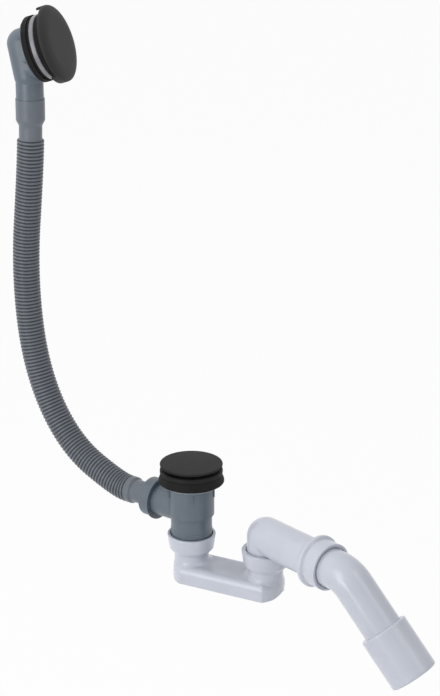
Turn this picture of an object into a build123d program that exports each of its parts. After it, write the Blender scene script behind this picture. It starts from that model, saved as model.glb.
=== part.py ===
# Bath waste and overflow: push plug, overflow with corrugated hose, flat trap, elbow and outlet bend.
# The origin is on the waste axis at the bath's seat: +Z up, +X towards the trap's outlet.
import math
import os

from build123d import *

# Driving dimensions, in millimetres and degrees

# Clearances
turn_gap = 0.3  # between pieces that turn or slide in each other
push_gap = 0.1  # between pieces that are pushed or screwed together
cut_margin = 1.0  # how far a cut passes the face that it opens
rim_margin = 0.01  # how near an edge lies to the outline that it belongs to

# Waste flange and strainer
flange_radius = 32.8
flange_height = 5.3
flange_round = 1.9
flange_lip = 3.6
throat_radius = 19.0
bowl_depth = 5.4
neck_wall = 1.6
neck_length = 22.0
strainer_height = 5.0
strainer_spokes = 6
spoke_width = 3.0
strainer_hub_wall = 3.6

# Gasket under the bath
gasket_height = 8.5
gasket_cover = 4.2
gasket_top_radius = 31.8
gasket_radius = 34.2
gasket_foot = 1.6

# Waste body
body_flange_radius = 31.0
body_flange_thickness = 2.2
shoulder_radius = 26.2
shoulder_depth = 14.6
body_wall = 3.0
body_length = 30.8
tail_radius = 21.5
tail_wall = 2.4
hub_wall = 2.4
hub_top_depth = 25.0
hub_length = 19.0
hub_arms = 4
hub_arm_width = 2.6
rib_count = 5
rib_width = 1.8
rib_height = 1.2
rib_length = 10.0
rib_phase = 58.0

# Clamp bolt and its threaded insert
bolt_radius = 7.6
bolt_head_flats = 18.0
bolt_head_height = 4.0
bolt_tip = 1.0
insert_wall = 2.2
insert_length = 16.0

# Push plug and its cartridge
plug_radius = 32.7
plug_edge = 2.5
plug_round = 1.2
plug_dome = 0.8
plug_gap = 3.5
plug_travel = 9.0
plug_boss_radius = 6.5
plug_boss_length = 4.0
plug_seal_width = 4.2
plug_seal_height = 5.4
stem_radius = 2.7
collar_radius = 4.5
collar_height = 2.0
cartridge_wall = 1.0
cartridge_floor = 2.0
cartridge_flange_radius = 8.0
cartridge_flange_height = 3.0
cartridge_length = 31.0
spring_wire = 1.0
spring_turns = 6

# Side inlet and its union nut
inlet_depth = 40.6
inlet_heading = 10.0
stub_radius = 17.0
stub_wall = 3.0
stub_reach = 52.0
inlet_seal_thickness = 2.0
hose_lip_thickness = 2.0
nut_wall = 3.2
nut_rim_height = 1.8
nut_rim_length = 1.3
nut_face_reach = 42.0
nut_shoulder = 13.3
nut_length = 18.2
nut_end_wall = 0.8
nut_round = 1.5

# Hose: route in the upright plane through the inlet, as shares of the overflow's reach and of its rise
hose_reach = 210.8
hose_route = [(1.0152, 0.8105), (1.0792, 0.5184), (1.0152, 0.2558), (0.7970, 0.0741), (0.4696, 0.0)]
hose_arc_share = 0.45
hose_crest_radius = 14.4
hose_trough_radius = 13.0
hose_neck_radius = 12.2
hose_wall = 1.2
hose_pitch = 3.87
cuff_radius = 15.3
cuff_length = 21.5
cuff_taper = 8.0
cuff_neck = 14.0
lower_cuff_radius = 14.3
lower_cuff_length = 4.6
lower_cuff_taper = 3.6
lower_cuff_neck = 19.3

# Overflow head
overflow_height = 391.0
overflow_heading = 11.2
overflow_tilt = 18.5
head_rise = 22.7
head_setback = 43.8
cover_radius = 39.5
cover_wall = 2.0
cover_dome = 2.4
cover_edge = 10.0
cover_skirt = 1.2
cover_collar_radius = 33.0
cover_collar_wall = 1.8
cover_lip_reach = 10.5
cover_lip_rise = 1.2
cover_lip_angle = 16.0
cover_foot_reach = 9.6
cover_foot_angle = 130.0
cover_slot_angle = 90.0
insert_front_depth = 12.4
insert_flange_radius = 34.0
insert_flange_thickness = 5.4
insert_flange_round = 1.2
insert_ring_width = 8.0
insert_hub_radius = 7.0
insert_arm_width = 4.0
overflow_gasket_radius = 34.8
overflow_gasket_thickness = 8.4
overflow_gasket_bore = 21.0
overflow_gasket_step = 1.4
overflow_gasket_front = 2.8
plate_radius = 32.5
plate_thickness = 2.6
hood_radius = 16.0
hood_tilt = 11.0
hood_top = 10.2
hood_wall = 2.4
outlet_radius = 14.5
outlet_wall = 1.9
outlet_drop = 24.8
spigot_step = 0.9
boss_radius = 4.6
screw_radius = 2.5
screw_head_radius = 4.6
screw_head_height = 2.8
screw_sink = 1.0
screw_length = 26.0

# Trap
rim_depth = 68.0
socket_rim_radius = 25.6
socket_draft = 2.3
socket_length = 15.5
socket_lead = 0.9
socket_taper = 6.0
socket_round = 1.0
seal_inset = 3.6
seal_width = 6.0
seal_section = 1.4
neck_radius = 18.0
trap_wall = 1.8
trap_spacing = 87.2
trap_depth = 118.8
trap_height = 20.2
trap_half_width = 24.0
trap_corner_reach = 3.0
trap_end_reach = 18.4
trap_end_round = 10.0
trap_corner_round = 8.6
trap_top_round = 8.0
trap_bottom_round = 2.5

# Elbow with its push-fit socket
pipe_radius = 20.0
pipe_wall = 2.0
elbow_height = 53.6
elbow_heading = 21.5
rim_clearance = 0.8
socket_reach = 71.0
flare_lead = 3.5
flare_length = 8.0
bulge_radius = 27.2
bulge_length = 3.2
bulge_round = 1.8
mouth_radius = 24.4
mouth_length = 17.6
mouth_recess = 1.8
mouth_recess_depth = 7.0

# Outlet bend
bend_reach = 118.7
bend_angle = 51.6
bend_twist = 14.3
bend_radius = 27.0
end_shoulder = 63.5
end_radius = 25.0
end_length = 56.0
end_wall = 2.0
end_round = 1.8

# Levels and radii that follow from them
rim_z = -rim_depth
neck_radius_outer = throat_radius + neck_wall
body_bore = neck_radius_outer + turn_gap
body_radius = body_bore + body_wall
gasket_bottom = -gasket_height
body_top = -gasket_cover
body_flange_bottom = body_top - body_flange_thickness
shoulder_bottom = -shoulder_depth
body_step = shoulder_bottom - body_length
socket_seat = rim_z - socket_length + trap_wall / 2
tail_end = socket_seat + turn_gap
tail_bore = tail_radius - tail_wall
neck_end = -neck_length
strainer_top = neck_end + strainer_height
strainer_hub_radius = bolt_radius + push_gap + strainer_hub_wall
insert_bore = bolt_radius + push_gap
insert_radius = insert_bore + insert_wall
hub_bore = insert_radius + push_gap
hub_radius = hub_bore + hub_wall
hub_top = -hub_top_depth
hub_bottom = hub_top - hub_length
insert_bottom = hub_bottom
bolt_head_top = strainer_top + bolt_head_height
chamber_radius = collar_radius + turn_gap
cartridge_radius = chamber_radius + cartridge_wall
bolt_bore = cartridge_radius + push_gap
bolt_end = hub_bottom - bolt_tip
cartridge_top = bolt_head_top + cartridge_flange_height
cartridge_end = bolt_head_top - cartridge_length
chamber_floor = cartridge_end + cartridge_floor
collar_top = bolt_head_top - turn_gap - plug_travel
collar_bottom = collar_top - collar_height
spring_length = collar_bottom - chamber_floor
plug_bottom = flange_height + plug_gap
plug_boss_bottom = plug_bottom - plug_boss_length

inlet_z = -inlet_depth
inlet_angle = math.radians(inlet_heading)
inlet_direction = Vector(-math.cos(inlet_angle), math.sin(inlet_angle), 0)
inlet_side = Vector(math.sin(inlet_angle), math.cos(inlet_angle), 0)
inlet_axis = Axis((0, 0, inlet_z), inlet_direction)
inlet_section = Plane((0, 0, inlet_z), x_dir=inlet_direction, z_dir=inlet_side)
stub_bore = stub_radius - stub_wall
nut_bore = stub_radius + turn_gap
nut_radius = nut_bore + nut_wall
nut_rim_radius = nut_radius + nut_rim_height
lip_reach = stub_reach + inlet_seal_thickness
lip_end_reach = lip_reach + hose_lip_thickness
nut_end_reach = nut_face_reach + nut_length

hose_plane = Plane((0, 0, 0), x_dir=inlet_direction, z_dir=inlet_side)
hose_bore = hose_neck_radius - hose_wall

knee = Vector(0, 0, overflow_height) + inlet_direction * hose_reach
heading = math.radians(overflow_heading)
tilt = math.radians(overflow_tilt)
head_normal = Vector(math.cos(tilt) * math.cos(heading), math.cos(tilt) * math.sin(heading), math.sin(tilt))
head_up = Vector(-math.sin(tilt) * math.cos(heading), -math.sin(tilt) * math.sin(heading), math.cos(tilt))
head_side = head_up.cross(head_normal)
head_centre = knee + head_up * head_rise + head_normal * head_setback
head = Plane(head_centre, x_dir=head_side, z_dir=head_normal)
head_section = Plane(head_centre, x_dir=head_up, z_dir=head_side)
head_axis = Axis(head_centre, head_normal)
hood_lean = math.radians(hood_tilt)
hood_back = math.sin(hood_lean)
hood_up = Vector(-hood_back * math.cos(heading), -hood_back * math.sin(heading), math.cos(hood_lean))
hood_length = head_rise + hood_top
hood_foot = head_rise + hood_radius - plate_radius + plate_thickness
hood = Plane(knee, x_dir=head_side, z_dir=head_side.cross(hood_up))
hood_depth = head_setback - head_rise * math.tan(tilt - hood_lean)
insert_back_depth = insert_front_depth + insert_flange_thickness
plate_depth = insert_back_depth + overflow_gasket_thickness
hood_bore = hood_radius - hood_wall
hood_centre = knee + hood_up * hood_length
outlet_bore = outlet_radius - outlet_wall
spigot_radius = outlet_radius - spigot_step
outlet_end_height = overflow_height - outlet_drop
spigot_end_height = outlet_end_height - cuff_length + turn_gap
cuff_bore = spigot_radius + push_gap
screw_bore = screw_radius + push_gap
screw_head_depth = insert_front_depth + screw_sink

trap_bottom = -trap_depth
trap_top = trap_bottom + trap_height
neck_bore = neck_radius - trap_wall
outlet_x = trap_spacing

elbow_z = -elbow_height
elbow_angle = math.radians(elbow_heading)
elbow_direction = Vector(math.cos(elbow_angle), -math.sin(elbow_angle), 0)
elbow_side = Vector(math.sin(elbow_angle), math.cos(elbow_angle), 0)
elbow_centre = Vector(outlet_x, 0, elbow_z)
elbow_axis = Axis(elbow_centre, elbow_direction)
elbow_section = Plane(elbow_centre, x_dir=elbow_direction, z_dir=elbow_direction.cross(Vector(0, 0, 1)))
pipe_bore = pipe_radius - pipe_wall
socket_bore = pipe_radius + turn_gap
elbow_end = socket_seat + turn_gap
flare_reach = socket_reach - flare_lead
bulge_start = flare_reach + flare_length
bulge_end = bulge_start + bulge_length
mouth_end = bulge_end + mouth_length
spigot_reach = socket_reach + turn_gap
notch_radius = socket_rim_radius + rim_clearance
notch_top = rim_z + rim_clearance

twist = math.radians(bend_twist)
turn = math.radians(bend_angle)
fall_direction = Vector(0, 0, -math.cos(twist)) + elbow_side * math.sin(twist)
bend_direction = elbow_direction * math.cos(turn) + fall_direction * math.sin(turn)
bend_corner = elbow_centre + elbow_direction * bend_reach
end_start = bend_corner + bend_direction * end_shoulder
end_plane = Plane(end_start, z_dir=bend_direction)

os.makedirs("parts", exist_ok=True)


def outline(section, points):
    """Closed outline of straight edges on a section plane."""
    with BuildSketch(section) as face:
        with BuildLine():
            Polyline(*points, close=True)
        make_face()
    return face.sketch


def wedge(angle, height, mode):
    """Triangle from the middle of a sketch, upwards or, with a negative height, downwards."""
    half = abs(height) * math.tan(math.radians(angle / 2))
    Polygon((0, 0), (half, height), (-half, height), align=None, mode=mode)


def lip_ring(bore):
    """Radius and depth points of a rubber ring in a socket's groove, its lip leaning on the spigot."""
    ring = bore + seal_section / 2
    outer = bore + seal_section
    lip = seal_width / 3
    root = [(ring, 0), (outer, 0), (outer, seal_width)]
    return root + [(bore, seal_width), (bore, seal_width - lip), (ring, lip)]


# Waste flange: rounded rim, bowl, neck and strainer
with BuildPart() as waste_flange:
    with BuildSketch(Plane.XZ) as rim_section:
        with BuildLine():
            Polyline(
                (neck_radius_outer, 0),
                (flange_radius, 0),
                (flange_radius, flange_height),
                (flange_radius - flange_round - flange_lip, flange_height),
                (throat_radius, flange_height - bowl_depth),
                (throat_radius, neck_end),
                (neck_radius_outer, neck_end),
                close=True,
            )
        make_face()
        fillet(rim_section.vertices().filter_by(lambda v: v.X > flange_radius - rim_margin), flange_round)
    revolve(axis=Axis.Z)
    with BuildSketch(Plane.XY.offset(neck_end)):
        Circle(strainer_hub_radius)
        with PolarLocations(0, strainer_spokes):
            with Locations((neck_radius_outer / 2, 0)):
                Rectangle(neck_radius_outer - neck_wall / 2, spoke_width)
        Circle(bolt_radius + push_gap, mode=Mode.SUBTRACT)
    extrude(amount=strainer_height)
waste_flange.part.label = "waste_flange"
export_step(waste_flange.part, "parts/waste_flange.step")

# Gasket: tapered rubber ring that wraps the body's flange
with BuildPart() as waste_gasket:
    revolve(
        outline(
            Plane.XZ,
            [
                (body_bore, 0),
                (gasket_top_radius, 0),
                (gasket_radius, gasket_bottom + gasket_foot),
                (gasket_radius, gasket_bottom),
                (shoulder_radius + push_gap, gasket_bottom),
                (shoulder_radius + push_gap, body_flange_bottom),
                (body_flange_radius + push_gap, body_flange_bottom),
                (body_flange_radius + push_gap, body_top),
                (body_bore, body_top),
            ],
        ),
        axis=Axis.Z,
    )
waste_gasket.part.label = "waste_gasket"
export_step(waste_gasket.part, "parts/waste_gasket.step")

# Waste body: flange, shoulder, ribbed barrel, hub on arms, side inlet and tail
with BuildPart() as waste_body:
    revolve(
        outline(
            Plane.XZ,
            [
                (0, body_top),
                (body_flange_radius, body_top),
                (body_flange_radius, body_flange_bottom),
                (shoulder_radius, body_flange_bottom),
                (shoulder_radius, shoulder_bottom),
                (body_radius, shoulder_bottom),
                (body_radius, body_step),
                (tail_radius, body_step),
                (tail_radius, tail_end),
                (0, tail_end),
            ],
        ),
        axis=Axis.Z,
    )
    with BuildSketch(Plane.XY.offset(shoulder_bottom)):
        with PolarLocations(0, rib_count, start_angle=180 - inlet_heading + rib_phase):
            with Locations((body_radius, 0)):
                Rectangle(2 * rib_height, rib_width)
    extrude(amount=-rib_length)
    with BuildSketch(Plane((0, 0, inlet_z), x_dir=inlet_side, z_dir=inlet_direction)):
        Circle(stub_radius)
    extrude(amount=stub_reach)
    revolve(
        outline(
            Plane.XZ,
            [
                (0, body_top),
                (body_bore, body_top),
                (body_bore, body_step + body_wall),
                (tail_bore, body_step + body_wall),
                (tail_bore, tail_end),
                (0, tail_end),
            ],
        ),
        axis=Axis.Z,
        mode=Mode.SUBTRACT,
    )
    with BuildSketch(Plane((0, 0, inlet_z), x_dir=inlet_side, z_dir=inlet_direction)):
        Circle(stub_bore)
    extrude(amount=stub_reach, mode=Mode.SUBTRACT)
    with BuildSketch(Plane.XY.offset(hub_bottom)):
        Circle(hub_radius)
        with PolarLocations(0, hub_arms, start_angle=45 - inlet_heading):
            with Locations((body_bore / 2, 0)):
                Rectangle(body_bore + body_wall, hub_arm_width)
        Circle(hub_bore, mode=Mode.SUBTRACT)
    extrude(amount=hub_length)
waste_body.part.label = "waste_body"
export_step(waste_body.part, "parts/waste_body.step")

# Brass insert in the body's hub
with BuildPart() as body_insert:
    with BuildSketch(Plane.XY.offset(insert_bottom)):
        Circle(insert_radius)
        Circle(insert_bore, mode=Mode.SUBTRACT)
    extrude(amount=insert_length)
body_insert.part.label = "body_insert"
export_step(body_insert.part, "parts/body_insert.step")

# Hollow clamp bolt with a hexagon head
with BuildPart() as clamp_bolt:
    with BuildSketch(Plane.XY.offset(strainer_top)):
        RegularPolygon(bolt_head_flats / 2, 6, major_radius=False)
    extrude(amount=bolt_head_height)
    with BuildSketch(Plane.XY.offset(strainer_top)):
        Circle(bolt_radius)
    extrude(amount=bolt_end - strainer_top)
    with BuildSketch(Plane.XY.offset(bolt_head_top)):
        Circle(bolt_bore)
    extrude(amount=bolt_end - bolt_head_top, mode=Mode.SUBTRACT)
clamp_bolt.part.label = "clamp_bolt"
export_step(clamp_bolt.part, "parts/clamp_bolt.step")

# Cartridge: sleeve in the bolt that guides the stem and holds the spring
with BuildPart() as plug_cartridge:
    revolve(
        outline(
            Plane.XZ,
            [
                (stem_radius + turn_gap, cartridge_top),
                (cartridge_flange_radius, cartridge_top),
                (cartridge_flange_radius, bolt_head_top),
                (cartridge_radius, bolt_head_top),
                (cartridge_radius, cartridge_end),
                (0, cartridge_end),
                (0, chamber_floor),
                (chamber_radius, chamber_floor),
                (chamber_radius, bolt_head_top),
                (stem_radius + turn_gap, bolt_head_top),
            ],
        ),
        axis=Axis.Z,
    )
plug_cartridge.part.label = "plug_cartridge"
export_step(plug_cartridge.part, "parts/plug_cartridge.step")

# Spring between the cartridge's floor and the stem's collar
with BuildPart() as plug_spring:
    coil_radius = (stem_radius + chamber_radius) / 2
    coil_height = spring_length - spring_wire
    with BuildLine():
        coil = Helix(
            pitch=coil_height / spring_turns,
            height=coil_height,
            radius=coil_radius,
            center=(0, 0, chamber_floor + spring_wire / 2),
        )
    with BuildSketch(Plane(coil @ 0, z_dir=coil % 0)):
        Circle(spring_wire / 2)
    sweep(path=coil)
plug_spring.part.label = "plug_spring"
export_step(plug_spring.part, "parts/plug_spring.step")

# Plug cap: shallow dome with a rounded edge and a boss below
with BuildPart() as plug_cap:
    with BuildSketch(Plane.XZ) as cap_section:
        with BuildLine():
            boss = Polyline(
                (0, plug_bottom + plug_edge + plug_dome),
                (0, plug_boss_bottom),
                (plug_boss_radius, plug_boss_bottom),
                (plug_boss_radius, plug_bottom),
                (plug_radius, plug_bottom),
                (plug_radius, plug_bottom + plug_edge),
            )
            dome_radius = (plug_radius**2 + plug_dome**2) / (2 * plug_dome)
            RadiusArc(boss @ 1, boss @ 0, -dome_radius)
        make_face()
        fillet(cap_section.vertices().filter_by(lambda v: v.X > plug_radius - rim_margin), plug_round)
    revolve(axis=Axis.Z)
    with BuildSketch(Plane.XY.offset(plug_boss_bottom)):
        Circle(stem_radius + push_gap)
    extrude(amount=plug_boss_length, mode=Mode.SUBTRACT)
plug_cap.part.label = "plug_cap"
export_step(plug_cap.part, "parts/plug_cap.step")

# Plug seal: ring under the cap that closes on the bowl
bowl_slope = (flange_radius - flange_round - flange_lip - throat_radius) / bowl_depth
seal_base = plug_bottom - plug_seal_height
seal_radius = throat_radius + bowl_slope * (seal_base - flange_height + bowl_depth) - turn_gap
with BuildPart() as plug_seal:
    with BuildSketch(Plane.XY.offset(plug_bottom)):
        Circle(seal_radius)
        Circle(seal_radius - plug_seal_width, mode=Mode.SUBTRACT)
    extrude(amount=-plug_seal_height)
plug_seal.part.label = "plug_seal"
export_step(plug_seal.part, "parts/plug_seal.step")

# Stem with the collar that the spring pushes
with BuildPart() as plug_stem:
    revolve(
        outline(
            Plane.XZ,
            [
                (0, plug_bottom),
                (stem_radius, plug_bottom),
                (stem_radius, collar_top),
                (collar_radius, collar_top),
                (collar_radius, collar_bottom),
                (stem_radius, collar_bottom),
                (stem_radius, chamber_floor + turn_gap),
                (0, chamber_floor + turn_gap),
            ],
        ),
        axis=Axis.Z,
    )
plug_stem.part.label = "plug_stem"
export_step(plug_stem.part, "parts/plug_stem.step")

# Union nut with a steep back
with BuildPart() as inlet_nut:
    shoulder_reach = nut_face_reach + nut_shoulder
    with BuildSketch(inlet_section) as nut_outline:
        with BuildLine():
            Polyline(
                (nut_end_reach, hose_neck_radius + turn_gap),
                (lip_end_reach, hose_neck_radius + turn_gap),
                (lip_end_reach, nut_bore),
                (nut_face_reach, nut_bore),
                (nut_face_reach, nut_rim_radius),
                (nut_face_reach + nut_rim_length, nut_rim_radius),
                (nut_face_reach + nut_rim_length + nut_rim_height, nut_radius),
                (shoulder_reach, nut_radius),
                (nut_end_reach, hose_neck_radius + turn_gap + nut_end_wall),
                close=True,
            )
        make_face()
        fillet(nut_outline.vertices().filter_by(lambda v: abs(v.X - shoulder_reach) < rim_margin), nut_round)
    revolve(axis=inlet_axis)
inlet_nut.part.label = "inlet_nut"
export_step(inlet_nut.part, "parts/inlet_nut.step")

# Flat washer between the inlet stub and the hose's lip
with BuildPart() as inlet_seal:
    inner = [(stub_reach, hose_bore), (lip_reach, hose_bore)]
    outer = [(lip_reach, stub_radius), (stub_reach, stub_radius)]
    revolve(outline(inlet_section, inner + outer), axis=inlet_axis)
inlet_seal.part.label = "inlet_seal"
export_step(inlet_seal.part, "parts/inlet_seal.step")

# Route of the hose: straight runs joined by arcs as large as the runs allow
cuff_end_height = outlet_end_height - cuff_length - cuff_taper
rise = outlet_end_height - inlet_z
corners = [(hose_reach * along, inlet_z + rise * up) for along, up in hose_route]
route = [(hose_reach, outlet_end_height), (hose_reach, cuff_end_height), *corners, (lip_reach, inlet_z)]
radii = []
for before, corner, after in zip(route, route[1:], route[2:]):
    run_in = Vector(*corner) - Vector(*before)
    run_out = Vector(*after) - Vector(*corner)
    half_turn = math.radians(run_in.get_angle(run_out)) / 2
    radii.append(hose_arc_share * min(run_in.length, run_out.length) / math.tan(half_turn))

# Hose: ruled skin through rings of crest and trough, between plain cuffs
with BuildPart() as overflow_hose:
    with BuildLine(hose_plane) as hose_line:
        FilletPolyline(*route, radius=radii)
    path = hose_line.wire()
    ribs_start = cuff_length + cuff_taper + cuff_neck
    lower_cuff_end = path.length - lower_cuff_neck - lower_cuff_taper
    ribs_end = lower_cuff_end - lower_cuff_length
    crests = round((ribs_end - ribs_start) / hose_pitch)
    pitch = (ribs_end - ribs_start) / crests
    rings = [
        (0, cuff_radius),
        (cuff_length, cuff_radius),
        (cuff_length + cuff_taper, hose_neck_radius),
        (ribs_start - pitch / 2, hose_neck_radius),
    ]
    for number in range(crests):
        rings.append((ribs_start + pitch * number, hose_trough_radius))
        rings.append((ribs_start + pitch * (number + 0.5), hose_crest_radius))
    rings += [
        (ribs_end, lower_cuff_radius),
        (lower_cuff_end, lower_cuff_radius),
        (path.length - lower_cuff_neck, hose_neck_radius),
        (path.length, hose_neck_radius),
    ]
    for distance, radius in rings:
        place = path.position_at(distance, position_mode=PositionMode.LENGTH)
        aim = path.tangent_at(distance, position_mode=PositionMode.LENGTH)
        with BuildSketch(Plane(place, x_dir=inlet_side, z_dir=aim)):
            Circle(radius)
    loft(ruled=True)
    lip = [(lip_reach, 0), (lip_end_reach, 0), (lip_end_reach, stub_radius), (lip_reach, stub_radius)]
    revolve(outline(inlet_section, lip), axis=inlet_axis)
    with BuildSketch(Plane(path @ 0, z_dir=path % 0)):
        Circle(hose_bore)
    sweep(path=path, mode=Mode.SUBTRACT)
    with BuildSketch(Plane(path @ 0, z_dir=path % 0)):
        Circle(cuff_bore)
    extrude(amount=cuff_length, mode=Mode.SUBTRACT)
overflow_hose.part.label = "overflow_hose"
export_step(overflow_hose.part, "parts/overflow_hose.step")

# Overflow elbow: hood on a plate, domed behind, with a spigot for the hose
with BuildPart() as overflow_body:
    with BuildSketch(head.offset(-plate_depth)):
        Circle(plate_radius)
    extrude(amount=-plate_thickness)
    with BuildSketch(hood):
        with Locations((0, (hood_length + hood_foot) / 2)):
            SlotCenterToCenter(hood_length - hood_foot, 2 * hood_radius, rotation=90)
    extrude(amount=head_setback - plate_depth)
    with BuildSketch(Plane(knee, x_dir=head_side, z_dir=hood_up)):
        Circle(hood_radius)
    extrude(amount=hood_length)
    with Locations(knee, hood_centre):
        Sphere(hood_radius)
    with BuildSketch(head.offset(-plate_depth)):
        Circle(plate_radius)
    extrude(amount=hood_radius, mode=Mode.SUBTRACT)
    with BuildSketch(Plane.XY.offset(outlet_end_height)):
        with Locations((knee.X, knee.Y)):
            Circle(outlet_radius)
    extrude(amount=overflow_height - outlet_end_height)
    with BuildSketch(Plane.XY.offset(spigot_end_height)):
        with Locations((knee.X, knee.Y)):
            Circle(spigot_radius)
    extrude(amount=outlet_end_height - spigot_end_height)
    with BuildSketch(hood):
        with Locations((0, (hood_length + hood_foot) / 2)):
            SlotCenterToCenter(hood_length - hood_foot, 2 * hood_bore, rotation=90)
    extrude(amount=head_setback - plate_depth + plate_thickness, mode=Mode.SUBTRACT)
    with BuildSketch(Plane(knee, x_dir=head_side, z_dir=hood_up)):
        Circle(hood_bore)
    extrude(amount=hood_length, mode=Mode.SUBTRACT)
    with Locations(knee, hood_centre):
        Sphere(hood_bore, mode=Mode.SUBTRACT)
    with BuildSketch(Plane.XY.offset(spigot_end_height)):
        with Locations((knee.X, knee.Y)):
            Circle(outlet_bore)
    extrude(amount=overflow_height - spigot_end_height, mode=Mode.SUBTRACT)
    with BuildSketch(head.offset(-plate_depth)):
        Circle(boss_radius)
        Circle(screw_bore, mode=Mode.SUBTRACT)
    extrude(amount=plate_depth - hood_depth - hood_bore - hood_wall / 4)
overflow_body.part.label = "overflow_body"
export_step(overflow_body.part, "parts/overflow_body.step")

# Overflow gasket: ring with a narrower front
with BuildPart() as overflow_gasket:
    front_radius = overflow_gasket_radius - overflow_gasket_step
    front_end = insert_back_depth + overflow_gasket_front
    revolve(
        outline(
            head_section,
            [
                (overflow_gasket_bore, -insert_back_depth),
                (front_radius, -insert_back_depth),
                (front_radius, -front_end),
                (overflow_gasket_radius, -front_end),
                (overflow_gasket_radius, -plate_depth),
                (overflow_gasket_bore, -plate_depth),
            ],
        ),
        axis=head_axis,
    )
overflow_gasket.part.label = "overflow_gasket"
export_step(overflow_gasket.part, "parts/overflow_gasket.step")

# Overflow insert: pale ring with a hub on two arms
with BuildPart() as overflow_insert:
    with BuildSketch(head.offset(-insert_back_depth)):
        Circle(insert_flange_radius)
        Circle(insert_flange_radius - insert_ring_width, mode=Mode.SUBTRACT)
        Rectangle(2 * (insert_flange_radius - insert_ring_width / 2), insert_arm_width)
        Circle(insert_hub_radius)
        Circle(screw_bore, mode=Mode.SUBTRACT)
    extrude(amount=insert_flange_thickness)
    outer_edges = overflow_insert.edges().filter_by(GeomType.CIRCLE)
    fillet(outer_edges.filter_by(lambda e: e.radius > insert_flange_radius - rim_margin), insert_flange_round)
    with BuildSketch(head.offset(-insert_front_depth)):
        Circle(screw_head_radius + push_gap)
    extrude(amount=insert_front_depth - screw_head_depth - screw_head_height, mode=Mode.SUBTRACT)
overflow_insert.part.label = "overflow_insert"
export_step(overflow_insert.part, "parts/overflow_insert.step")

# Overflow screw, sunk in the hub
screw_seat_depth = screw_head_depth + screw_head_height
with BuildPart() as overflow_screw:
    revolve(
        outline(
            head_section,
            [
                (0, -screw_head_depth),
                (screw_head_radius, -screw_head_depth),
                (screw_head_radius, -screw_seat_depth),
                (screw_radius, -screw_seat_depth),
                (screw_radius, -screw_seat_depth - screw_length),
                (0, -screw_seat_depth - screw_length),
            ],
        ),
        axis=head_axis,
    )
overflow_screw.part.label = "overflow_screw"
export_step(overflow_screw.part, "parts/overflow_screw.step")

# Overflow cover: shallow dish with a long lip at the top, a foot below and a collar that is open below
with BuildPart() as overflow_cover:
    cover_inside = cover_dome - cover_wall
    with BuildSketch(head_section):
        with BuildLine():
            crown = Line((0, cover_dome), (cover_radius - cover_edge, cover_dome))
            edge = TangentArc(crown @ 1, (cover_radius, 0), tangent=(1, 0))
            Polyline(
                edge @ 1,
                (cover_radius, -cover_skirt),
                (cover_radius - cover_wall, -cover_skirt),
                (cover_radius - cover_edge, cover_inside),
                (0, cover_inside),
                crown @ 0,
            )
        make_face()
    revolve(axis=head_axis)
    with BuildSketch(head):
        Circle(cover_radius + cover_lip_rise)
        Circle(cover_radius - cover_wall, mode=Mode.SUBTRACT)
        wedge(cover_lip_angle, 2 * cover_radius, mode=Mode.INTERSECT)
    extrude(amount=-cover_lip_reach)
    with BuildSketch(head):
        Circle(cover_radius)
        Circle(cover_radius - cover_wall, mode=Mode.SUBTRACT)
        wedge(cover_foot_angle, -2 * cover_radius, mode=Mode.INTERSECT)
    extrude(amount=-cover_foot_reach)
    with BuildSketch(head.offset(cover_inside)):
        Circle(cover_collar_radius)
        Circle(cover_collar_radius - cover_collar_wall, mode=Mode.SUBTRACT)
        wedge(cover_slot_angle, -2 * cover_radius, mode=Mode.SUBTRACT)
    extrude(amount=-cover_inside - insert_front_depth)
overflow_cover.part.label = "overflow_cover"
export_step(overflow_cover.part, "parts/overflow_cover.step")

# Plan of the flat trap: straight sides and bowed ends
with BuildSketch() as trap_plan:
    with BuildLine():
        right = outlet_x + trap_corner_reach
        near = Line((-trap_corner_reach, -trap_half_width), (right, -trap_half_width))
        far = Line((right, trap_half_width), (-trap_corner_reach, trap_half_width))
        ThreePointArc(near @ 1, (outlet_x + trap_end_reach, 0), far @ 0)
        ThreePointArc(far @ 1, (-trap_end_reach, 0), near @ 0)
    make_face()
    fillet(trap_plan.vertices(), trap_corner_round)


def flat_box(inset):
    """Soft flat box of the trap or, with an inset, the room inside its wall."""
    with BuildPart() as box:
        with BuildSketch(Plane.XY.offset(trap_bottom + inset)):
            add(trap_plan.sketch)
            if inset > 0:
                offset(amount=-inset)
        extrude(amount=trap_height - 2 * inset)
        fillet(box.faces().sort_by(Axis.Z)[-1].edges(), trap_top_round - inset)
        fillet(box.faces().sort_by(Axis.Z)[0].edges(), trap_bottom_round - inset)
        side_width = outlet_x + 2 * (trap_end_reach - inset + cut_margin)
        side_height = trap_height + 2 * (turn_gap - inset)
        with BuildSketch(Plane.XZ) as side:
            with Locations((outlet_x / 2, (trap_bottom + trap_top) / 2)):
                Rectangle(side_width, side_height)
            fillet(side.vertices().sort_by(Axis.Y)[:2].sort_by(Axis.X)[-1], trap_end_round - inset)
        extrude(amount=trap_half_width + cut_margin, both=True, mode=Mode.INTERSECT)
    return box.part


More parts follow.
